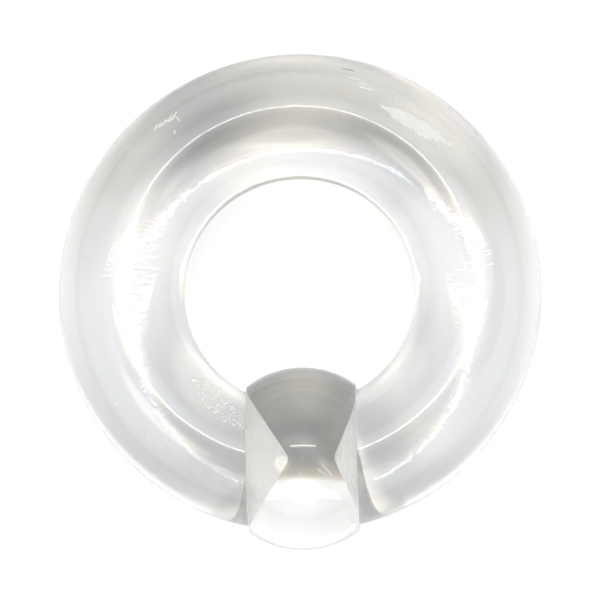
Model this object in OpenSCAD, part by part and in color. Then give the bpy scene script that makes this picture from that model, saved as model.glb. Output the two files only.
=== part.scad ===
// Captive bead ring in clear acrylic, for a stretched piercing.
// An open hoop bent from one round rod is closed by a bead. The bead is a ball with two flat sides,
// and a conical dimple in each side takes one end of the hoop. The bead can turn between the two ends.
// The bead is thicker than the rod, so the ring lies with the bead's side a little raised.

/* [Hoop] */
// Diameter of the rod that the hoop is bent from (8 mm is 0 gauge)
rod_d = 8; // [7.5:0.1:9]
// Radius of the bend, from the middle of the hole to the middle of the rod
bend_r = 11.3; // [10.5:0.1:13]
// How far each end of the hoop reaches into its dimple
seat_depth = 0.35; // [0.2:0.05:0.5]
// Play between an end of the hoop and its dimple
seat_gap = 0.08; // [0.04:0.01:0.12]

/* [Bead] */
// Diameter of the ball
bead_d = 11.5; // [11:0.1:12]
// Width of the bead between its two flat sides
bead_w = 6.9; // [6.4:0.1:7]
// Width of the flat rim round each dimple
rim_w = 0.15; // [0.1:0.05:0.3]
// Depth of the dimple on the -X side
left_depth = 2.8; // [2:0.1:2.9]
// Depth of the dimple on the +X side
right_depth = 2.1; // [2:0.1:2.9]
// Radius of the rounding at the bottom of each dimple
tip_r = 0.5; // [0.3:0.1:0.8]

/* [Hidden] */
$fn = 96;
rod_r = rod_d / 2;
bead_r = bead_d / 2;
outer_r = bend_r + rod_r;
inner_r = bend_r - rod_r;
side_x = bead_w / 2;
end_x = side_x - seat_depth;
mouth_r = sqrt(bead_r * bead_r - side_x * side_x) - rim_w;
// Seen from above, the bead is centred on the rod where the hoop's ends enter it
bead_y = (sqrt(outer_r * outer_r - side_x * side_x) + sqrt(inner_r * inner_r - side_x * side_x)) / 2;
// Lying on a table, the ring touches it with the bead and with the far side of the hoop
tilt = asin((bead_r - rod_r) / (bend_r + bead_y));
hoop_z = rod_r + bend_r * sin(tilt);
// Puts the origin under the middle of the whole ring's outline
hoop_y = ((bead_y - bend_r) * cos(tilt) + bead_r - rod_r) / 2;
// How far a cutting shape reaches past what it cuts
past = 1;

// Carries a shape from the hoop's own plane to the way that the ring lies
module lying() {
    translate([0, hoop_y, hoop_z])
        rotate([-tilt, 0, 0])
            children();
}

// Angle between a dimple's wall and its axis: the wall runs from the mouth's edge and just
// touches the rounding at the bottom
function wall_angle(depth) =
    let (tip_y = depth - tip_r)
    atan(mouth_r / tip_y) - asin(tip_r / norm([mouth_r, tip_y]));

// Half-profile of a dimple. Its axis is Y, its mouth is at 0 and it goes down to -depth.
module dimple_profile(depth) {
    wall = wall_angle(depth);
    tip_y = tip_r - depth;
    touch_x = tip_r * cos(wall);
    touch_y = tip_y - tip_r * sin(wall);
    polygon([[0, past], [mouth_r, past], [mouth_r, 0], [touch_x, touch_y], [0, touch_y]]);
    intersection() {
        translate([0, tip_y]) circle(r = tip_r);
        translate([0, -depth]) square([tip_r, tip_r]);
    }
}

// Half-profile of the bead. Its axis is Y, and its +Y end becomes the +X side.
module bead_profile() {
    difference() {
        intersection() {
            circle(r = bead_r);
            translate([0, -side_x]) square([bead_r, bead_w]);
        }
        translate([0, side_x]) dimple_profile(right_depth);
        translate([0, -side_x]) mirror([0, 1]) dimple_profile(left_depth);
    }
}

// What comes off the hoop's +X end, so that it fits a dimple of this depth. The bead's axis is X.
module end_trim(depth) {
    wall = wall_angle(depth);
    side_radius = mouth_r - seat_gap / cos(wall);
    face_radius = side_radius - seat_depth * tan(wall);
    difference() {
        translate([end_x - past, -rod_d, -rod_d]) cube([seat_depth + past, rod_d * 2, rod_d * 2]);
        translate([end_x, 0, 0]) rotate([0, 90, 0]) cylinder(h = seat_depth, r1 = face_radius, r2 = side_radius);
    }
}

// The open hoop, with its two ends trimmed to the dimples
module ring() {
    color([0.86, 0.89, 0.89, 0.5])
        lying()
            difference() {
                rotate_extrude() translate([bend_r, 0]) circle(r = rod_r);
                translate([-end_x, -outer_r - past, -rod_d]) cube([end_x * 2, outer_r + past, rod_d * 2]);
                translate([0, -bead_y, 0]) {
                    end_trim(right_depth);
                    mirror([1, 0, 0]) end_trim(left_depth);
                }
            }
}

// The bead, with its axis along X
module bead() {
    color([0.74, 0.75, 0.73, 0.6])
        lying()
            translate([0, -bead_y, 0]) rotate([0, 90, 0]) rotate_extrude() bead_profile();
}

ring();
bead();
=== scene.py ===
# %% [markdown]
# A captive bead ring, in clear acrylic
#
# This lesson rebuilds one piece of body jewellery. A thick round rod is bent into an open hoop, and a
# bead with a dimple in each side closes the gap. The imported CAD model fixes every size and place.
# Blender adds the polished surfaces, the small marks of wear, and the light that makes a clear thing
# visible.

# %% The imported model
import math

import bpy
from mathutils import Matrix, Vector


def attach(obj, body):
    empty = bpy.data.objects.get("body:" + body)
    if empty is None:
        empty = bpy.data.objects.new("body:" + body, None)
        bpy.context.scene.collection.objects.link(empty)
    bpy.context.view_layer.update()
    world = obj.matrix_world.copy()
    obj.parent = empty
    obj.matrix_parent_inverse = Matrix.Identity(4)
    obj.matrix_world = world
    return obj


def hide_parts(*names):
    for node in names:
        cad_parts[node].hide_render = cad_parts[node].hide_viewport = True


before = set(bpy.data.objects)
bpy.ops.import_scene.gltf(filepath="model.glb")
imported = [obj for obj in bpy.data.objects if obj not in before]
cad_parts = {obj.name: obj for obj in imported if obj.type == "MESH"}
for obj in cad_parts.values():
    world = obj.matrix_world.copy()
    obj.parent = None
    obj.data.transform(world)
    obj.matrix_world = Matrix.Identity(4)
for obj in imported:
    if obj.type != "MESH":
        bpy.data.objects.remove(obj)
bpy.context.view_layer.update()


def in_mm(place):
    """A place in millimetres, rounded for printing."""
    return [round(v * 1000, 2) for v in place]


# %% [markdown]
# Sizes
#
# The same numbers shape the CAD part, and are repeated here in metres.

# %% Sizes from the part
MM = 0.001
ROD_R = 4.0 * MM
BEND_R = 11.3 * MM
BEAD_R = 5.75 * MM
SIDE_X = 3.45 * MM
END_X = 3.1 * MM
RIM_W = 0.15 * MM
SEAT_GAP = 0.08 * MM
TIP_R = 0.5 * MM
LEFT_DEPTH = 2.8 * MM
RIGHT_DEPTH = 2.1 * MM
OUTER_R = BEND_R + ROD_R
INNER_R = BEND_R - ROD_R
MOUTH_R = math.sqrt(BEAD_R ** 2 - SIDE_X ** 2) - RIM_W
BEAD_Y = (math.sqrt(OUTER_R ** 2 - SIDE_X ** 2) + math.sqrt(INNER_R ** 2 - SIDE_X ** 2)) / 2
TILT = math.asin((BEAD_R - ROD_R) / (BEND_R + BEAD_Y))
HOOP_Z = ROD_R + BEND_R * math.sin(TILT)
HOOP_Y = ((BEAD_Y - BEND_R) * math.cos(TILT) + BEAD_R - ROD_R) / 2
HOOP_MIDDLE = Vector((0, HOOP_Y, HOOP_Z))
BEAD_MIDDLE = HOOP_MIDDLE + Matrix.Rotation(-TILT, 3, "X") @ Vector((0, -BEAD_Y, 0))

# %% [markdown]
# The camera
#
# The ring was photographed from almost straight above, with the bead towards the bottom of the picture.
# The outline and the run of the highlights agree on a camera that leans about five degrees towards the
# bead. It stands close, so the near parts look a little larger than the far ones. Its own right, up and
# back directions are worked out first, because the lamps are placed from them too. A small shift puts
# the hoop where it lies in the frame.

# %% Camera
# Lean from straight above towards +X and +Y, and roll, in degrees, and distance in metres
CAMERA_X = 1.5
CAMERA_Y = -5.5
CAMERA_ROLL = 1.4
CAMERA_AWAY = 0.27
# Width of the picture in pixels, pixels to a metre at the hoop, and the pixel of the hoop's middle
PICTURE = 600
PIXELS_PER_METRE = 15810
HOOP_PIXEL = (299.7, 291.3)
SENSOR_MM = 36
NEAREST_SEEN = 5 * MM


def tangent(degrees):
    """Tangent of an angle in degrees."""
    return math.tan(math.radians(degrees))


def camera_axes():
    """Right, up and back directions of the camera."""
    back = Vector((tangent(CAMERA_X), tangent(CAMERA_Y), 1)).normalized()
    level = Vector((1, 0, 0))
    level = (level - back * level.dot(back)).normalized()
    upright = back.cross(level)
    roll = math.radians(CAMERA_ROLL)
    right = level * math.cos(roll) - upright * math.sin(roll)
    up = level * math.sin(roll) + upright * math.cos(roll)
    return right, up, back


RIGHT, UP, BACK = camera_axes()
camera_data = bpy.data.cameras.new("camera")
camera = bpy.data.objects.new("camera", camera_data)
bpy.context.scene.collection.objects.link(camera)
bpy.context.scene.camera = camera
camera.location = HOOP_MIDDLE + BACK * CAMERA_AWAY
camera.rotation_euler = Matrix((RIGHT, UP, BACK)).transposed().to_euler()
camera_data.sensor_width = SENSOR_MM
camera_data.lens = SENSOR_MM * CAMERA_AWAY * PIXELS_PER_METRE / PICTURE
camera_data.shift_x = (PICTURE / 2 - HOOP_PIXEL[0]) / PICTURE
camera_data.shift_y = (HOOP_PIXEL[1] - PICTURE / 2) / PICTURE
camera_data.clip_start = NEAREST_SEEN
print("lens", round(camera_data.lens, 1), "mm, shift",
      round(camera_data.shift_x, 4), round(camera_data.shift_y, 4))

# %% [markdown]
# The room
#
# A clear thing has no colour of its own. What shows is the room, bent and mirrored by its surfaces. In
# an evenly white room a clear ring would nearly vanish, so the room has to differ from side to side.
# Here the walls are pale and grow dimmer towards their foot. A ring of the ceiling is bright behind the
# hoop and fades out in front of the bead, and it is dark straight overhead. Lamps could make this, but
# each would be mirrored with a hard outline, so the world's own nodes make it from the direction of
# each ray.

# %% Helpers for nodes
def join(tree, socket, value):
    """Links another socket to this one, or sets a plain value on it."""
    if isinstance(value, bpy.types.NodeSocket):
        tree.links.new(value, socket)
    else:
        socket.default_value = value


def add_node(tree, kind, *values, **settings):
    """One node with its settings, its inputs filled in order."""
    made = tree.nodes.new("ShaderNode" + kind)
    for name, setting in settings.items():
        setattr(made, name, setting)
    for socket, value in zip(made.inputs, values):
        if value is not None:
            join(tree, socket, value)
    return made


def calc(tree, operation, *values):
    """The result of one sum on numbers."""
    return add_node(tree, "Math", *values, operation=operation).outputs[0]


def ease(tree, value, low, high, start=0.0, end=1.0):
    """Goes smoothly from start to end while the value goes from low to high."""
    made = add_node(tree, "MapRange", value, low, high, start, end, interpolation_type="SMOOTHSTEP")
    return made.outputs[0]


# %% Walls and ceiling
# Each pair is where a soft edge starts and ends, in degrees from straight up
WALL_START = (26, 31)
WALL_FOOT = (72, 86)
WALL_LIGHT = 1.1
WALL_FOOT_LIGHT = 0.45
WALL_COLOUR = (0.98, 1.0, 1.035)
CEILING_START = (11, 15)
CEILING_END = (26, 32)
# The ceiling's light to the left and right, and how much more it is towards +Y and less towards -Y
CEILING_LIGHT = 1.0
CEILING_NORTH = 1.4
CEILING_COLOUR = (0.98, 1.0, 1.04)
BLACK = (0, 0, 0)


def degrees_between(tree, arrow, other):
    """Angle between two directions, as nodes."""
    facing = add_node(tree, "VectorMath", arrow, other, operation="DOT_PRODUCT").outputs["Value"]
    facing = calc(tree, "MINIMUM", calc(tree, "MAXIMUM", facing, -1.0), 1.0)
    return calc(tree, "DEGREES", calc(tree, "ARCCOSINE", facing))


def add_light(tree, light, colour, amount):
    """Adds this much of a colour to the light, as nodes."""
    added = add_node(tree, "VectorMath", colour, None, None, amount, operation="SCALE")
    return add_node(tree, "VectorMath", light, added.outputs[0], operation="ADD").outputs[0]


world = bpy.data.worlds.new("room")
bpy.context.scene.world = world
world.use_nodes = True
room = world.node_tree
direction = add_node(room, "TexCoord").outputs["Generated"]
from_up = degrees_between(room, direction, (0, 0, 1))
walls = calc(room, "MULTIPLY", ease(room, from_up, *WALL_START),
             ease(room, from_up, *WALL_FOOT, WALL_LIGHT, WALL_FOOT_LIGHT))
level = add_node(room, "VectorMath", direction, (1, 1, 0), operation="MULTIPLY").outputs[0]
level = add_node(room, "VectorMath", level, operation="NORMALIZE").outputs[0]
north = add_node(room, "SeparateXYZ", level).outputs["Y"]
ceiling = calc(room, "MAXIMUM", calc(room, "MULTIPLY_ADD", north, CEILING_NORTH, CEILING_LIGHT), 0.0)
ceiling = calc(room, "MULTIPLY", ceiling, ease(room, from_up, *CEILING_START))
ceiling = calc(room, "MULTIPLY", ceiling, ease(room, from_up, *CEILING_END, 1.0, 0.0))
light = add_light(room, BLACK, WALL_COLOUR, walls)
light = add_light(room, light, CEILING_COLOUR, ceiling)
print("walls from", WALL_START, "and ceiling from", CEILING_START, "to", CEILING_END, "degrees")

# %% [markdown]
# Spots in the room
#
# A real room is not even: parts of it are brighter, warmer or darker than the rest. They are out of the
# picture, but the ring shows them, bent to patches of grey. Following such a patch back through the
# hoop gives the direction that it came from. Each is a soft round spot, added to the room in that
# direction, and a dark one takes light away.

# %% Brighter, warmer and darker spots
ROOM_SPOTS = (
    # Degrees from straight up, degrees round from +X, radius of the core, soft edge, amount, colour
    (12, 75, 5, 8, 1.4, (0.99, 1.0, 1.02)),
    (26, 199, 6, 7, 3.2, (1.14, 1.0, 0.8)),
    (27, 342, 4, 5, 1.4, (1.14, 1.0, 0.8)),
    (18, 155, 5, 6, -1.0, (1.0, 1.0, 1.0)),
    (37, 10, 9, 9, -1.2, (1.0, 1.0, 1.0)),
    (42, 272, 12, 14, 1.6, (1.1, 1.0, 0.82)),
    (27, 268, 3, 6, 0.7, (1.1, 1.0, 0.82)),
)
ROOM_LIGHT = 1.14


def toward(tip_degrees, turn_degrees):
    """Direction that is this far from straight up, and this far round from +X."""
    tip, turn = math.radians(tip_degrees), math.radians(turn_degrees)
    return Vector((math.sin(tip) * math.cos(turn), math.sin(tip) * math.sin(turn), math.cos(tip)))


for tip, turn, core, edge, amount, colour in ROOM_SPOTS:
    away = degrees_between(room, direction, toward(tip, turn))
    light = add_light(room, light, colour, ease(room, away, core, core + edge, amount, 0.0))
light = add_node(room, "VectorMath", light, BLACK, operation="MAXIMUM").outputs[0]
join(room, room.nodes["Background"].inputs["Color"], light)
join(room, room.nodes["Background"].inputs["Strength"], ROOM_LIGHT)
print("room with", len(ROOM_SPOTS), "spots and", len(room.nodes), "nodes")

# %% [markdown]
# The strip light
#
# One long, thin white line runs along the top of the hoop, and its mirror image shows again through the
# underside. Following the reflection back from several points of that line leads to one straight strip,
# a little behind the camera and high up. It is a rectangle lamp, placed from the camera's own axes. A
# second, weaker and warmer one just below it gives the line the warm fringe that real acrylic makes by
# splitting light into its colours.

# %% Strip light
# Degrees up from the middle of the picture, out to each side and thick, and distance in metres
STRIP_UP = 18.0
STRIP_REACH = 16.5
STRIP_THICK = 1.3
STRIP_AWAY = 1.2
STRIP_LIGHT = 0.225
STRIP_COLOUR = (0.94, 1.0, 1.08)
WARM_LESS_UP = 2.0
WARM_LIGHT = 0.07
WARM_COLOUR = (1.0, 0.6, 0.2)


def strip_light(name, up_degrees, colour, light):
    """A strip lamp that gives this much light on the table, whatever its size."""
    middle = (BACK + UP * tangent(up_degrees)) * STRIP_AWAY
    distance = middle.length
    data = bpy.data.lights.new(name, "AREA")
    data.shape = "RECTANGLE"
    data.size = STRIP_AWAY * 2 * tangent(STRIP_REACH)
    data.size_y = distance * tangent(STRIP_THICK)
    data.energy = light * math.pi * distance ** 2
    data.color = colour
    lamp = bpy.data.objects.new(name, data)
    bpy.context.scene.collection.objects.link(lamp)
    lamp.location = HOOP_MIDDLE + middle
    out = middle.normalized()
    along = (RIGHT - out * RIGHT.dot(out)).normalized()
    lamp.rotation_euler = Matrix((along, out.cross(along), out)).transposed().to_euler()
    print(name, [round(v, 3) for v in lamp.location])


strip_light("strip", STRIP_UP, STRIP_COLOUR, STRIP_LIGHT)
strip_light("strip_warm_edge", STRIP_UP - WARM_LESS_UP, WARM_COLOUR, WARM_LIGHT)

# %% [markdown]
# The table
#
# The ring lies on a plain white table, which the clear rod gathers light onto and shows again through
# itself. It is one flat plane just under the ring, matt so that it mirrors nothing.

# %% Table
TABLE_WHITE = (0.96, 0.96, 0.96, 1)
TABLE_SIZE = 1.0
TABLE_BELOW = 0.01 * MM
MATT = 1.0

bpy.ops.object.select_all(action="DESELECT")
bpy.ops.mesh.primitive_plane_add(size=TABLE_SIZE, location=(0, 0, -TABLE_BELOW))
bpy.ops.object.transform_apply(location=True, rotation=True, scale=True)
table = bpy.context.object
table.name = "table"
paint = bpy.data.materials.new("table_white")
paint.use_nodes = True
paint_shader = paint.node_tree.nodes["Principled BSDF"]
join(paint.node_tree, paint_shader.inputs["Base Color"], TABLE_WHITE)
join(paint.node_tree, paint_shader.inputs["Roughness"], MATT)
join(paint.node_tree, paint_shader.inputs["Specular IOR Level"], 0.0)
table.data.materials.append(paint)
print("table", TABLE_SIZE, "m wide,", TABLE_BELOW / MM, "mm under the ring")

# %% [markdown]
# How light may travel
#
# A ray crosses the hoop, the gap and the bead many times before it leaves, so it is allowed many
# bounces. The light that the rod gathers onto the table is kept sharp, and its brightest spots are not
# cut down.

# %% Settings for clear things
CLEAR_BOUNCES = 48
TABLE_BOUNCES = 5

scene = bpy.context.scene
scene.view_settings.view_transform = "Standard"
scene.cycles.blur_glossy = 0
scene.cycles.sample_clamp_indirect = 0
scene.cycles.max_bounces = CLEAR_BOUNCES
scene.cycles.transmission_bounces = CLEAR_BOUNCES
scene.cycles.diffuse_bounces = TABLE_BOUNCES
scene.cycles.use_denoising = True
print("bounces", scene.cycles.max_bounces, "in all,", scene.cycles.diffuse_bounces, "on the table")

# %% [markdown]
# Shaping helpers
#
# Every piece is shaped lying flat, with the hoop's middle at the origin, where its numbers are simplest.
# At the end it is laid down the way the real one lies: the bead is thicker than the rod, so that side is
# raised a few degrees. Applying the turn puts the place in the mesh, and the object stays at the origin.

# %% Helpers for shaping
CREASE_DEGREES = 18


def shape_start(name):
    """Names the new primitive and opens it for editing."""
    piece = bpy.context.object
    piece.name = name
    piece.data.name = name
    bpy.ops.object.transform_apply(location=True, rotation=True, scale=True)
    bpy.ops.object.mode_set(mode="EDIT")
    return piece


def pick(piece, kind, test):
    """Selects the verts by place, or the faces by middle and normal, that pass the test, and no more."""
    bpy.ops.object.mode_set(mode="EDIT")
    bpy.ops.mesh.select_mode(type=kind)
    bpy.ops.mesh.select_all(action="DESELECT")
    bpy.ops.object.mode_set(mode="OBJECT")
    count = 0
    if kind == "VERT":
        for vert in piece.data.vertices:
            vert.select = test(vert.co)
            count += vert.select
    if kind == "FACE":
        for face in piece.data.polygons:
            face.select = test(face.center, face.normal)
            count += face.select
    bpy.ops.object.mode_set(mode="EDIT")
    return count


def lay_down(piece):
    """Points the faces outwards, turns the piece the way the ring lies, and smooths it."""
    bpy.ops.object.mode_set(mode="EDIT")
    bpy.ops.mesh.select_all(action="SELECT")
    bpy.ops.mesh.normals_make_consistent(inside=False)
    bpy.ops.object.mode_set(mode="OBJECT")
    piece.rotation_euler = (-TILT, 0, 0)
    piece.location = HOOP_MIDDLE
    bpy.ops.object.transform_apply(location=True, rotation=True, scale=True)
    bpy.ops.object.shade_smooth_by_angle(angle=math.radians(CREASE_DEGREES))
    places = [vert.co for vert in piece.data.vertices]
    low = [min(place[i] for place in places) for i in range(3)]
    high = [max(place[i] for place in places) for i in range(3)]
    print(piece.name, len(piece.data.polygons), "faces", in_mm(low), in_mm(high))


# %% [markdown]
# The hoop
#
# The real hoop is a cast or extruded acrylic rod, warmed and bent round a former until its ends almost
# meet. A torus would need a gap cut in it. Spinning one circle of the rod round the middle of the hole
# makes the bent rod directly, and leaves the gap open. The steps are many and small, because a clear
# surface shows every flat. The gap starts narrower than the real one, which leaves a little rod to saw
# off.

# %% Hoop: bend the rod
ROD_SIDES = 128
BEND_STEPS = 400
FIRST_GAP_HALF = math.radians(11.5)

bpy.ops.object.select_all(action="DESELECT")
start = -math.pi / 2 + FIRST_GAP_HALF
bpy.ops.mesh.primitive_circle_add(
    vertices=ROD_SIDES, radius=ROD_R, fill_type="NOTHING",
    location=(BEND_R * math.cos(start), BEND_R * math.sin(start), 0), rotation=(math.pi / 2, 0, start))
hoop = shape_start("bent_hoop")
bpy.ops.mesh.select_all(action="SELECT")
bpy.ops.mesh.spin(steps=BEND_STEPS, angle=2 * FIRST_GAP_HALF - 2 * math.pi, center=(0, 0, 0),
                  axis=(0, 0, 1))
bpy.ops.object.mode_set(mode="OBJECT")
print("bent rod", len(hoop.data.polygons), "faces, lowest y",
      round(min(v.co.y for v in hoop.data.vertices) * 1000, 2))

# %% [markdown]
# The ends of the hoop
#
# Each end is sawn square to the bead and turned to a short blunt cone, which sits in the bead's dimple.
# The rod is sliced with a bisect at the bead's side, which also closes it. The new face is pushed on
# into the dimple and made smaller round the bead's axis, so the cone keeps the play that the CAD gives.

# %% Hoop: saw and taper the ends
END_BEVEL = 0.05 * MM
# Only the part of the rod that lies this near to the middle of the gap is cut
CUT_WITHIN = 2 * SIDE_X
# How near two points count as one in a cut, and how near a face's middle lies to the plane of the cut
CUT_EXACT = 0.0001 * MM
ON_PLANE = 0.001 * MM
FACING_X = 0.9


def wall_angle(depth):
    """Angle between a dimple's wall and its axis."""
    tip_y = depth - TIP_R
    return math.atan(MOUTH_R / tip_y) - math.asin(TIP_R / math.hypot(MOUTH_R, tip_y))


def taper(depth):
    """How much smaller the end of the cone is than its start."""
    wall = wall_angle(depth)
    side_radius = MOUTH_R - SEAT_GAP / math.cos(wall)
    return (side_radius - (SIDE_X - END_X) * math.tan(wall)) / side_radius


def on_side(middle, side):
    """True for a face that lies in the plane of the bead's side."""
    return abs(middle.x * side - SIDE_X) < ON_PLANE


for side, depth in ((1, RIGHT_DEPTH), (-1, LEFT_DEPTH)):
    count = pick(hoop, "VERT", lambda co: co.y < 0 and 0 < co.x * side < CUT_WITHIN)
    bpy.ops.mesh.bisect(plane_co=(side * SIDE_X, 0, 0), plane_no=(side, 0, 0), use_fill=True,
                        clear_inner=True, threshold=CUT_EXACT)
    cut = pick(hoop, "FACE", lambda middle, normal: on_side(middle, side) and middle.y < 0
               and abs(normal.x) > FACING_X)
    bpy.ops.mesh.extrude_region_move(TRANSFORM_OT_translate={"value": (-side * (SIDE_X - END_X), 0, 0)})
    small = taper(depth)
    bpy.ops.transform.resize(value=(1, small, small), center_override=(side * END_X, -BEAD_Y, 0))
    bpy.ops.mesh.bevel(offset=END_BEVEL, segments=2, affect="EDGES")
    print("end", side, "cut faces", cut, "taper", round(small, 4), "from", count, "verts")
lay_down(hoop)
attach(hoop, "ring")
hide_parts("ring")

# %% [markdown]
# The bead
#
# The bead is a ball with two flat sides, turned from the same acrylic. It could be spun from a profile.
# Starting from a ball and slicing it follows the maker's own steps: face off both sides with a bisect,
# then drill each side by insetting its face again and again along the dimple's profile.

# %% Bead: face off a ball
BEAD_SIDES = 192
BEAD_RINGS = 128

bpy.ops.object.select_all(action="DESELECT")
bpy.ops.mesh.primitive_uv_sphere_add(segments=BEAD_SIDES, ring_count=BEAD_RINGS, radius=BEAD_R,
                                     location=(0, -BEAD_Y, 0), rotation=(0, math.pi / 2, 0))
bead = shape_start("dimpled_bead")
for side in (1, -1):
    bpy.ops.mesh.select_all(action="SELECT")
    bpy.ops.mesh.bisect(plane_co=(side * SIDE_X, 0, 0), plane_no=(side, 0, 0), use_fill=True,
                        clear_outer=True, threshold=CUT_EXACT)
bpy.ops.object.mode_set(mode="OBJECT")
print("faced ball", len(bead.data.polygons), "faces")

# %% Bead: drill the dimples
EDGE_BEVEL = 0.04 * MM
WALL_STEPS = 10
TIP_STEPS = 8


def dimple_rings(depth):
    """Radius and depth of each ring of a dimple, from its mouth to just short of its middle."""
    wall = wall_angle(depth)
    touch_r = TIP_R * math.cos(wall)
    touch_d = depth - TIP_R + TIP_R * math.sin(wall)
    rings = []
    for i in range(WALL_STEPS + 1):
        part = (1 - math.cos(math.pi * i / WALL_STEPS)) / 2
        rings.append((MOUTH_R + (touch_r - MOUTH_R) * part, touch_d * part))
    for i in range(1, TIP_STEPS):
        turn = wall + (math.pi / 2 - wall) * i / TIP_STEPS
        rings.append((TIP_R * math.cos(turn), depth - TIP_R + TIP_R * math.sin(turn)))
    return rings


for side, depth in ((1, RIGHT_DEPTH), (-1, LEFT_DEPTH)):
    pick(bead, "FACE", lambda middle, normal: on_side(middle, side))
    bpy.ops.mesh.bevel(offset=EDGE_BEVEL, segments=2, affect="EDGES")
    pick(bead, "FACE", lambda middle, normal: on_side(middle, side))
    last_r, last_d = MOUTH_R + RIM_W - EDGE_BEVEL, 0
    for radius, down in dimple_rings(depth):
        bpy.ops.mesh.inset(thickness=last_r - radius, depth=last_d - down)
        last_r, last_d = radius, down
    bpy.ops.mesh.merge(type="COLLAPSE")
    print("dimple", side, "wall", round(math.degrees(wall_angle(depth)), 2), "degrees, last ring",
          round(last_r * 1000, 3), "mm at", round(last_d * 1000, 3))
lay_down(bead)
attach(bead, "bead")
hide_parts("bead")

# %% [markdown]
# Clear acrylic
#
# Both pieces are cast acrylic, which bends light a little less than glass does, with an index of 1.49.
# A perfectly clear and smooth material would look computer made. The real one is slightly grey where the
# light has a long way to go, and its polish is never quite flat. The marks are placed in the hoop's own
# plane, in millimetres, so a mapping node turns the object's coordinates back to the way the hoop lay
# when it was shaped. Heights are in millimetres too, and go into one bump node.

# %% Helpers for finishes
ACRYLIC_BENDING = 1.49


def clear_acrylic(name, colour, clear=1.0):
    """A new see-through finish, its tree and its shader."""
    finish = bpy.data.materials.new(name)
    finish.use_nodes = True
    tree = finish.node_tree
    shader = tree.nodes["Principled BSDF"]
    join(tree, shader.inputs["Base Color"], colour)
    join(tree, shader.inputs["Transmission Weight"], clear)
    join(tree, shader.inputs["IOR"], ACRYLIC_BENDING)
    return finish, tree, shader


def plane_place(tree, middle):
    """The surface's place in millimetres from this middle, in the plane that the hoop was bent in."""
    place = add_node(tree, "TexCoord").outputs["Object"]
    flat = add_node(tree, "Mapping", place, vector_type="TEXTURE")
    flat.inputs["Location"].default_value = middle
    flat.inputs["Rotation"].default_value = (-TILT, 0, 0)
    flat.inputs["Scale"].default_value = (MM, MM, MM)
    return flat.outputs[0]


def noise(tree, place, scale, detail, stretch=(1, 1, 1)):
    """Soft random relief, from 0 to 1."""
    moved = add_node(tree, "Mapping", place)
    moved.inputs["Scale"].default_value = stretch
    made = add_node(tree, "TexNoise", moved.outputs[0])
    join(tree, made.inputs["Scale"], scale)
    join(tree, made.inputs["Detail"], detail)
    return made.outputs["Fac"]


def finish_relief(tree, shader, *layers):
    """Adds up heights in millimetres and gives them to the shader as bump."""
    total = layers[0]
    for layer in layers[1:]:
        total = calc(tree, "ADD", total, layer)
    bump = add_node(tree, "Bump")
    join(tree, bump.inputs["Strength"], 1.0)
    join(tree, bump.inputs["Distance"], MM)
    join(tree, bump.inputs["Height"], total)
    join(tree, shader.inputs["Normal"], bump.outputs[0])


# %% [markdown]
# The polish of the hoop
#
# The rod was polished by hand after it was bent. The polish is a little wavy, which breaks the thin
# highlight into dashes. The underside has lain on things and is worn with finer waves, so what it
# mirrors has ragged edges. Waves in the mesh itself would take millions of faces, so soft noise makes
# them as bump, a thousandth of a millimetre high. The tint is also darker in a narrow band round the
# rod's widest line: this is painted shade, not a colour of the acrylic. It draws the thin dark outline
# that a clear rod shows at its rim and at the hole, where its surface turns away from the eye.

# %% Hoop finish: polish
HOOP_TINT = (0.699, 0.706, 0.702, 1)
# Height of the waves in millimetres, how close they are, and how much finer detail they carry
SLOW_WAVES = (0.001, 1.3, 0.0)
UNDER_WAVES = (0.0014, 5.0, 1.0)
# Heights from the rod's middle, in millimetres, between which the finer waves come in
UNDERSIDE = (0.0, -1.2)
# Heights from the rod's middle between which the painted shade of the outline band ends, and how much
# light the band keeps
# The outline band is painted shade in the base colour
PAINTED_OUTLINE_BAND = (0.2, 0.9)
PAINTED_OUTLINE_KEPT = 0.42


def waves(tree, place, height, scale, detail):
    """Relief that goes this far above and below the surface's own level."""
    return calc(tree, "MULTIPLY", noise(tree, place, scale, detail), height * 2)


def hoop_waves(tree, place):
    """Slow waves of the polish all over, and finer ones underneath."""
    under = ease(tree, add_node(tree, "SeparateXYZ", place).outputs["Z"], *UNDERSIDE)
    fine = calc(tree, "MULTIPLY", waves(tree, place, *UNDER_WAVES), under)
    return waves(tree, place, *SLOW_WAVES), fine


def hoop_tint_with_painted_outline(tree, place):
    """The rod's tint, with painted shade in a narrow band at its widest line that draws its outline."""
    height = calc(tree, "ABSOLUTE", add_node(tree, "SeparateXYZ", place).outputs["Z"])
    painted_outline_kept = ease(tree, height, *PAINTED_OUTLINE_BAND, PAINTED_OUTLINE_KEPT, 1.0)
    return add_node(tree, "VectorMath", HOOP_TINT[:3], None, None, painted_outline_kept, operation="SCALE").outputs[0]


hoop_finish, hoop_tree, hoop_shader = clear_acrylic("hoop_polish", HOOP_TINT)
hoop_place = plane_place(hoop_tree, HOOP_MIDDLE)
finish_relief(hoop_tree, hoop_shader, *hoop_waves(hoop_tree, hoop_place))
# The base colour carries the painted shade of the outline band at the rod's widest line
join(hoop_tree, hoop_shader.inputs["Base Color"], hoop_tint_with_painted_outline(hoop_tree, hoop_place))
join(hoop_tree, hoop_shader.inputs["Roughness"], 0.0)
hoop.data.materials.append(hoop_finish)
print(hoop_finish.name, len(hoop_tree.nodes), "nodes")

# %% [markdown]
# The marks of wear on the hoop
#
# On top of the hoop there is one leaf-shaped rough patch with fine cross ridges, one long hair scratch
# beside it, some short scuffs, and a speckled strip near the bead. Cut into the mesh, such fine marks
# would need a great many faces. Here each mark is a mask instead: nodes measure how far a point lies
# along and across the mark, and give 1 on it and 0 beside it. The leaf comes first. Its edge is made
# ragged by noise, and a sine wave along it makes the ridges.

# %% Hoop finish: the leaf-shaped patch
# Heights from the rod's middle, in millimetres, between which the marks come in
TOP_SIDE = (0.3, 0.9)
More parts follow.
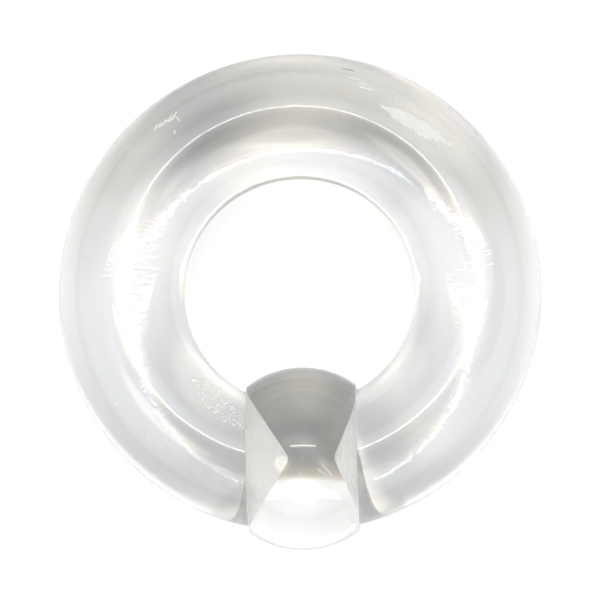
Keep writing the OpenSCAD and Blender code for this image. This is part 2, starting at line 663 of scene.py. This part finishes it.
# Places, lengths and heights are in millimetres, and turns in degrees
LEAF_AT, LEAF_TURN = (7.62, 9.74), -31.6
LEAF_HALF, LEAF_WIDE, LEAF_EDGE = 2.75, 0.52, 0.08
RAGGED_SCALE, RAGGED_DETAIL, RAGGED_BY = 2.5, 3.0, 0.25
RIDGE_STEP, RIDGE_SLANT, RIDGE_HEIGHT = 0.17, 0.4, 0.003
GRIT_SCALE, GRIT_DETAIL, GRIT_HEIGHT = 14.0, 3.0, 0.07


def upper_side(tree, place):
    """1 on the upper side of a piece, and 0 from just above its middle down."""
    return ease(tree, add_node(tree, "SeparateXYZ", place).outputs["Z"], *TOP_SIDE)


def turned(tree, place, centre, degrees):
    """Distance along and across a mark that lies at centre, turned by some degrees."""
    moved = add_node(tree, "Mapping", place, vector_type="TEXTURE")
    moved.inputs["Location"].default_value = (*centre, 0)
    moved.inputs["Rotation"].default_value = (0, 0, math.radians(degrees))
    return add_node(tree, "SeparateXYZ", moved.outputs[0]).outputs[:2]


def leaf_shape(tree, along, across, half_length, half_width, edge):
    """1 inside a pointed leaf shape and 0 outside it."""
    part = calc(tree, "DIVIDE", along, half_length)
    width = calc(tree, "MULTIPLY_ADD", calc(tree, "MULTIPLY", part, part), -half_width, half_width)
    return ease(tree, calc(tree, "SUBTRACT", width, calc(tree, "ABSOLUTE", across)), 0.0, edge)


def leaf_patch(tree, place, top, grit):
    """The mask of the leaf, its ridges from -1 to 1, and its height."""
    along, across = turned(tree, place, LEAF_AT, LEAF_TURN)
    ragged = calc(tree, "MULTIPLY_ADD", noise(tree, place, RAGGED_SCALE, RAGGED_DETAIL), 2 * RAGGED_BY,
                  calc(tree, "ADD", across, -RAGGED_BY))
    leaf = calc(tree, "MULTIPLY", leaf_shape(tree, along, ragged, LEAF_HALF, LEAF_WIDE, LEAF_EDGE), top)
    slanted = calc(tree, "ADD", along, calc(tree, "MULTIPLY", across, RIDGE_SLANT))
    ridges = calc(tree, "SINE", calc(tree, "MULTIPLY", slanted, 2 * math.pi / RIDGE_STEP))
    height = calc(tree, "MULTIPLY_ADD", ridges, RIDGE_HEIGHT, calc(tree, "MULTIPLY", grit, GRIT_HEIGHT))
    return leaf, ridges, calc(tree, "MULTIPLY", leaf, height)


print("leaf", 2 * LEAF_HALF, "mm long,", round(2 * LEAF_HALF / RIDGE_STEP), "ridges")

# %% [markdown]
# The hair scratch, the scuffs and the specks
#
# The hair scratch lies beside the leaf and turns with it. It sways a little and is broken where the
# grit is low, as a real scratch skips. The scuffs are short straight lines, each with its own place,
# turn and length. The speckled strip is the leaf's shape again, with softer ends, and noise with a
# sharp limit leaves separate specks in it.

# %% Hoop finish: the hair scratch and the scuffs
HAIR_BACK, HAIR_BESIDE = 0.55, 1.2
HAIR_BENDS, HAIR_SWAY = 2.7, 0.06
HAIR_HALF, HAIR_WIDE = 2.5, 0.07
HAIR_BREAKS = (0.4, 0.5)
SCUFF_WIDE = 0.09
HOOP_SCUFFS = [
    # Centre in the hoop's plane, turn and half length of each short scuff
    ((-8.75, 10.1), 62, 0.22), ((-8.5, 10.2), 70, 0.16), ((-8.25, 10.35), 55, 0.26),
    ((-8.05, 10.45), 20, 0.14), ((-7.85, 10.6), 75, 0.24), ((-7.6, 10.75), 60, 0.3),
    ((-7.35, 10.55), -50, 0.2), ((-7.55, 9.66), 80, 0.08), ((3.4, 13.6), -12, 0.35),
    ((3.9, 12.9), -14, 0.5), ((4.5, 12.2), -16, 0.4), ((4.3, 12.5), -15, 0.25),
    ((6.43, 11.5), 0, 0.02), ((9.76, 8.55), 40, 0.05), ((-11.43, -7.34), 30, 0.05),
    ((-9.44, -9.64), 10, 0.04),
]


def thin_line(tree, along, across, half_length, half_width):
    """1 on a thin straight scratch and 0 beside it."""
    beside = calc(tree, "ABSOLUTE", across)
    past = calc(tree, "MAXIMUM", calc(tree, "SUBTRACT", calc(tree, "ABSOLUTE", along), half_length), 0.0)
    return ease(tree, calc(tree, "ADD", beside, past), half_width, 0.0)


def hair_and_scuffs(tree, place, top, grit):
    """The mask of the broken hair scratch and of all the short scuffs."""
    along, across = turned(tree, place, LEAF_AT, LEAF_TURN)
    bends = calc(tree, "SINE", calc(tree, "MULTIPLY", along, HAIR_BENDS))
    beside = calc(tree, "SUBTRACT", calc(tree, "SUBTRACT", across, HAIR_BESIDE),
                  calc(tree, "MULTIPLY", bends, HAIR_SWAY))
    hair = thin_line(tree, calc(tree, "ADD", along, HAIR_BACK), beside, HAIR_HALF, HAIR_WIDE)
    marks = calc(tree, "MULTIPLY", hair, calc(tree, "MULTIPLY", top, ease(tree, grit, *HAIR_BREAKS)))
    for centre, turn, half in HOOP_SCUFFS:
        scuff = thin_line(tree, *turned(tree, place, centre, turn), half, SCUFF_WIDE)
        marks = calc(tree, "MAXIMUM", marks, calc(tree, "MULTIPLY", scuff, top))
    return marks


print("hair scratch", 2 * HAIR_HALF, "mm long,", len(HOOP_SCUFFS), "scuffs")

# %% Hoop finish: the speckled strip
SPECKLED_AT, SPECKLED_TURN = (-5.2, -7.4), -47.4
SPECKLED_HALF, SPECKLED_WIDE, SPECKLED_EDGE = 2.9, 1.1, 0.5
SPECK_SCALE, SPECK_DETAIL = 7.0, 2.0
SPECK_EDGE = (0.52, 0.6)


def speckled_strip(tree, place, top):
    """The mask of the specks that lie together in one pointed strip."""
    along, across = turned(tree, place, SPECKLED_AT, SPECKLED_TURN)
    strip = leaf_shape(tree, along, across, SPECKLED_HALF, SPECKLED_WIDE, SPECKLED_EDGE)
    specks = ease(tree, noise(tree, place, SPECK_SCALE, SPECK_DETAIL), *SPECK_EDGE)
    return calc(tree, "MULTIPLY", calc(tree, "MULTIPLY", strip, specks), top)


print("speckled strip", 2 * SPECKLED_HALF, "mm long")

# %% [markdown]
# The worn finish
#
# The leaf stands up in fine grit and ridges, and the scratches and specks are cut in. All of them are
# rougher and paler than the polish, because a rough mark scatters the white of the room instead of
# letting the darker parts of it through. So many nodes make every ray slow, so the worn finish is a
# second one on the same piece, and only the faces near a mark take it. Away from the marks it looks
# just like the polish, and its border doesn't show.

# %% Hoop finish: all the marks together
MARK_DEPTH = 0.03
LEAF_ROUGH, MARK_ROUGH, SPECK_ROUGH = 0.32, 0.6, 0.4
WORN_PALER = (0.29, 0.285, 0.28)
# The tops of the leaf's ridges are this much paler than halfway down them, and the grooves as much less
RIDGE_PALER = 0.25


def hoop_marks(tree, shader):
    """Gives all the marks to the shader, as height, roughness and tint."""
    place = plane_place(tree, HOOP_MIDDLE)
    top = upper_side(tree, place)
    grit = noise(tree, place, GRIT_SCALE, GRIT_DETAIL)
    leaf, ridges, leaf_height = leaf_patch(tree, place, top, grit)
    marks = hair_and_scuffs(tree, place, top, grit)
    specks = speckled_strip(tree, place, top)
    either = calc(tree, "MAXIMUM", marks, specks)
    slow, fine = hoop_waves(tree, place)
    finish_relief(tree, shader, slow, fine, leaf_height, calc(tree, "MULTIPLY", either, -MARK_DEPTH))

    rough = calc(tree, "MULTIPLY", leaf, LEAF_ROUGH)
    rough = calc(tree, "MAXIMUM", rough, calc(tree, "MULTIPLY", marks, MARK_ROUGH))
    rough = calc(tree, "MAXIMUM", rough, calc(tree, "MULTIPLY", specks, SPECK_ROUGH))
    join(tree, shader.inputs["Roughness"], rough)

    ridged = calc(tree, "MULTIPLY_ADD", ridges, RIDGE_PALER, 1 - RIDGE_PALER)
    pale = calc(tree, "MAXIMUM", calc(tree, "MULTIPLY", leaf, ridged), either)
    # The tint carries the same painted shade of the outline band
    tint = hoop_tint_with_painted_outline(tree, place)
    tint = add_node(tree, "VectorMath", pale, WORN_PALER, tint, operation="MULTIPLY_ADD").outputs[0]
    join(tree, shader.inputs["Base Color"], tint)


worn_finish, worn_tree, worn_shader = clear_acrylic("hoop_worn", HOOP_TINT)
hoop_marks(worn_tree, worn_shader)
print(worn_finish.name, len(worn_tree.nodes), "nodes")

# %% Hoop finish: the faces near a mark
WORN_PLACES = [
    # Middle in the hoop's plane, and reach
    ((7.7, 10.3), 3.6), ((-8.0, 10.4), 1.3), ((3.9, 12.9), 1.4), ((-5.2, -7.4), 3.1),
    ((-11.43, -7.34), 0.3), ((-9.44, -9.64), 0.3),
]


def second_finish(piece, finish, test):
    """Gives a second finish to the faces that pass the test."""
    bpy.ops.object.select_all(action="DESELECT")
    bpy.context.view_layer.objects.active = piece
    piece.select_set(True)
    piece.data.materials.append(finish)
    count = pick(piece, "FACE", test)
    piece.active_material_index = len(piece.data.materials) - 1
    bpy.ops.object.material_slot_assign()
    bpy.ops.object.mode_set(mode="OBJECT")
    print(piece.name, finish.name, count, "faces")


def is_worn(middle, normal):
    """True on the upper side of the hoop, near one of the marks."""
    flat = Matrix.Rotation(TILT, 3, "X") @ (middle - HOOP_MIDDLE) / MM
    near = any(math.hypot(flat.x - at[0], flat.y - at[1]) < reach for at, reach in WORN_PLACES)
    return near and flat.z > TOP_SIDE[0]


second_finish(hoop, worn_finish, is_worn)

# %% [markdown]
# The polish of the bead
#
# The ball is polished like the hoop, and its acrylic is a shade warmer. It has slow waves of its own,
# two fine scratches and three specks. They are few, so they are part of its one polish. They are placed
# from the bead's own middle, and turn with the bead.

# %% Bead finish: polish
BEAD_TINT = (0.710, 0.713, 0.698, 1)
BEAD_WAVES = (0.001, 1.6, 1.0)
BEAD_SCRATCHES = [
    # Centre in the hoop's plane, from the bead's middle, turn and half length
    ((1.6, -1.45), -48, 0.5), ((1.25, -1.6), -40, 0.3), ((1.4, 1.25), 0, 0.02),
    ((0.15, -0.75), 0, 0.02), ((-0.05, -1.6), 0, 0.03),
]
SCRATCH_WIDE, SCRATCH_DEPTH, SCRATCH_ROUGH = 0.05, 0.01, 0.4


def bead_marks(tree, shader):
    """Gives the bead's waves and scratches to the shader, as height and roughness."""
    place = plane_place(tree, BEAD_MIDDLE)
    top = upper_side(tree, place)
    marks = 0.0
    for centre, turn, half in BEAD_SCRATCHES:
        scratch = thin_line(tree, *turned(tree, place, centre, turn), half, SCRATCH_WIDE)
        marks = calc(tree, "MAXIMUM", marks, calc(tree, "MULTIPLY", scratch, top))
    finish_relief(tree, shader, waves(tree, place, *BEAD_WAVES),
                  calc(tree, "MULTIPLY", marks, -SCRATCH_DEPTH))
    join(tree, shader.inputs["Roughness"], calc(tree, "MULTIPLY", marks, SCRATCH_ROUGH))


bead_finish, bead_tree, bead_shader = clear_acrylic("bead_polish", BEAD_TINT)
bead_marks(bead_tree, bead_shader)
bead.data.materials.append(bead_finish)
print(bead_finish.name, len(bead_tree.nodes), "nodes")

# %% [markdown]
# The drilled faces and the turned ends, with the ends' painted glow
#
# The bead's two sides and their dimples are not polished. The tool has left fine rings round the axis,
# so they look frosted and pale. The hoop's ends, which sit in them, are as the lathe left them. Both
# finishes share one relief, whose rings follow the distance from the bead's axis, and they differ in how
# clear and how rough they are. The ends are almost white, and carry a faint painted glow, though they
# are no lamp. This painted light stands for light that the real rod carries along itself to its ends.
# Without it a dark wedge shows on each side of the bead.

# %% Bead finish: drilled faces, and turned ends with a painted glow
DRILLED_TINT = (0.98, 0.98, 0.96, 1)
DRILLED_CLEAR, DRILLED_ROUGH = 0.75, 0.5
TURNED_TINT = (1.0, 1.0, 0.99, 1)
# The glow of the turned ends is painted light: they are no lamp
TURNED_CLEAR, TURNED_ROUGH, TURNED_PAINTED_GLOW = 0.1, 0.6, 0.15
RING_STEP, RING_HEIGHT = 0.16, 0.002
# The tool's chatter: how close its waves are, their detail, their stretch along X, Y and Z, and height
CHATTER_SCALE, CHATTER_DETAIL = 6.0, 2.0
CHATTER_STRETCH = (1, 0.3, 0.3)
CHATTER_HEIGHT = 0.01
# The roughness changes by this part of itself, while the chatter goes between these two
ROUGH_CHANGE = 0.2
ROUGH_BETWEEN = (0.35, 0.65)


def tool_rings(tree, shader, rough):
    """Fine rings round the bead's axis, and a frosted look."""
    place = plane_place(tree, BEAD_MIDDLE)
    y, z = add_node(tree, "SeparateXYZ", place).outputs[1:]
    squares = calc(tree, "ADD", calc(tree, "MULTIPLY", y, y), calc(tree, "MULTIPLY", z, z))
    from_axis = calc(tree, "SQRT", squares)
    rings = calc(tree, "SINE", calc(tree, "MULTIPLY", from_axis, 2 * math.pi / RING_STEP))
    chatter = noise(tree, place, CHATTER_SCALE, CHATTER_DETAIL, stretch=CHATTER_STRETCH)
    finish_relief(tree, shader, calc(tree, "MULTIPLY", rings, RING_HEIGHT),
                  calc(tree, "MULTIPLY", chatter, CHATTER_HEIGHT))
    join(tree, shader.inputs["Roughness"],
         ease(tree, chatter, *ROUGH_BETWEEN, rough * (1 - ROUGH_CHANGE), rough * (1 + ROUGH_CHANGE)))


drilled_finish, drilled_tree, drilled_shader = clear_acrylic(
    "drilled_faces", DRILLED_TINT, DRILLED_CLEAR)
tool_rings(drilled_tree, drilled_shader, DRILLED_ROUGH)
turned_finish_painted_glow, turned_tree, turned_shader_painted_glow = clear_acrylic("turned_ends_painted_glow", TURNED_TINT, TURNED_CLEAR)
tool_rings(turned_tree, turned_shader_painted_glow, TURNED_ROUGH)
# A faint painted glow on the ends, which are no lamp, stands for light the rod carries to them
join(turned_tree, turned_shader_painted_glow.inputs["Emission Color"], TURNED_TINT)
join(turned_tree, turned_shader_painted_glow.inputs["Emission Strength"], TURNED_PAINTED_GLOW)
print(drilled_finish.name, "and", turned_finish_painted_glow.name, len(drilled_tree.nodes), "nodes each")

# %% Bead finish: the faces that the tool cut
# A face of the bead is cut by the tool if its middle lies this far or further inside the ball
INSIDE_BALL = 0.06 * MM


def is_drilled(middle, normal):
    """True for the bead's sides and dimples."""
    return (middle - BEAD_MIDDLE).length < BEAD_R - INSIDE_BALL


def is_turned(middle, normal):
    """True for the ends of the hoop, which lie inside the ball."""
    return abs(middle.x) < SIDE_X and middle.y < 0 and (middle - BEAD_MIDDLE).length < BEAD_R


second_finish(bead, drilled_finish, is_drilled)
# The hoop's ends take the finish with the painted glow
second_finish(hoop, turned_finish_painted_glow, is_turned)
